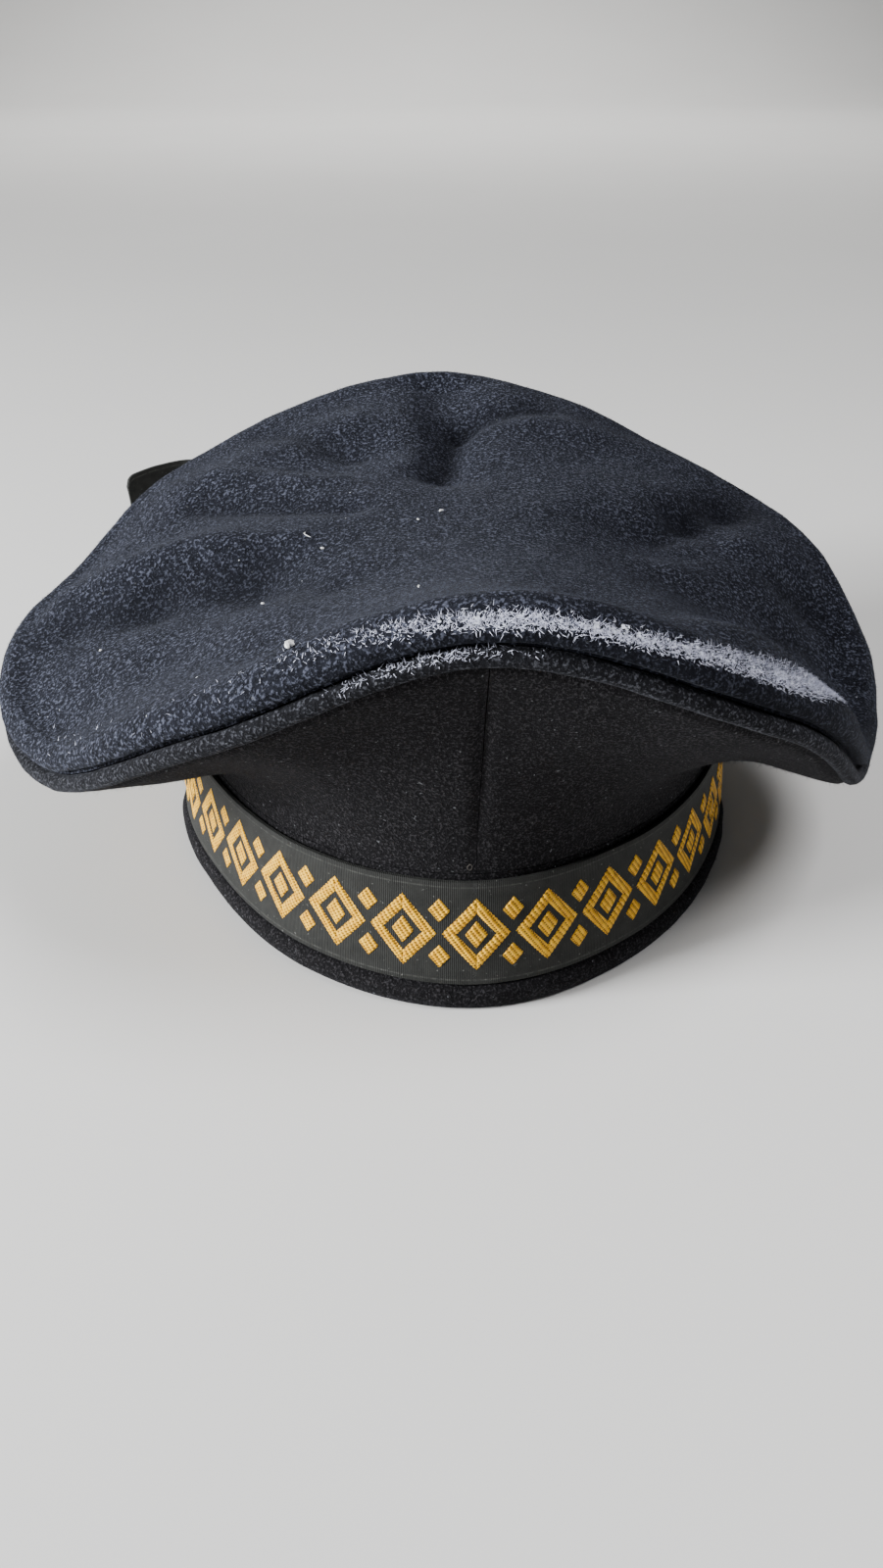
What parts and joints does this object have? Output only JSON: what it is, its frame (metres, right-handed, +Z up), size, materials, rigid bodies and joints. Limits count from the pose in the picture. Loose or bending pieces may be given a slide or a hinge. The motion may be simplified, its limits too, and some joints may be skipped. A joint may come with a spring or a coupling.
{
  "type": "sailor cap",
  "caption": "Soft wool sailor cap with a wide drooping crown, rolled piping, a head band with a rolled lower welt, and a woven ribbon tied at the back.",
  "frame": {"origin": "on the surface the cap rests on, below the middle of the whole cap's outline", "axes": "+Z up, the front of the cap faces -Y, +X to the right as seen from the front"},
  "size_m": [0.2846, 0.276, 0.1307],
  "materials": {
    "navy_melton_wool": "napped melton wool, dull with a soft sheen",
    "dark_navy_wool": "dense dark wool, dull",
    "black_ribbon": "fine ribbed ribbon, low sheen",
    "gold_thread": "woven gold thread, soft gloss"
  },
  "bodies": {
    "root": {"crown_top": "navy_melton_wool", "crown_piping": "dark_navy_wool", "side_panel_front_left": "dark_navy_wool", "side_panel_front_right": "dark_navy_wool", "side_panel_back_left": "dark_navy_wool", "side_panel_back_right": "dark_navy_wool", "head_band": "dark_navy_wool", "lower_welt": "dark_navy_wool", "cap_ribbon": "black_ribbon", "ribbon_knot": "black_ribbon", "ribbon_tail_left": "black_ribbon", "ribbon_tail_right": "black_ribbon"}
  },
  "joints": []
}
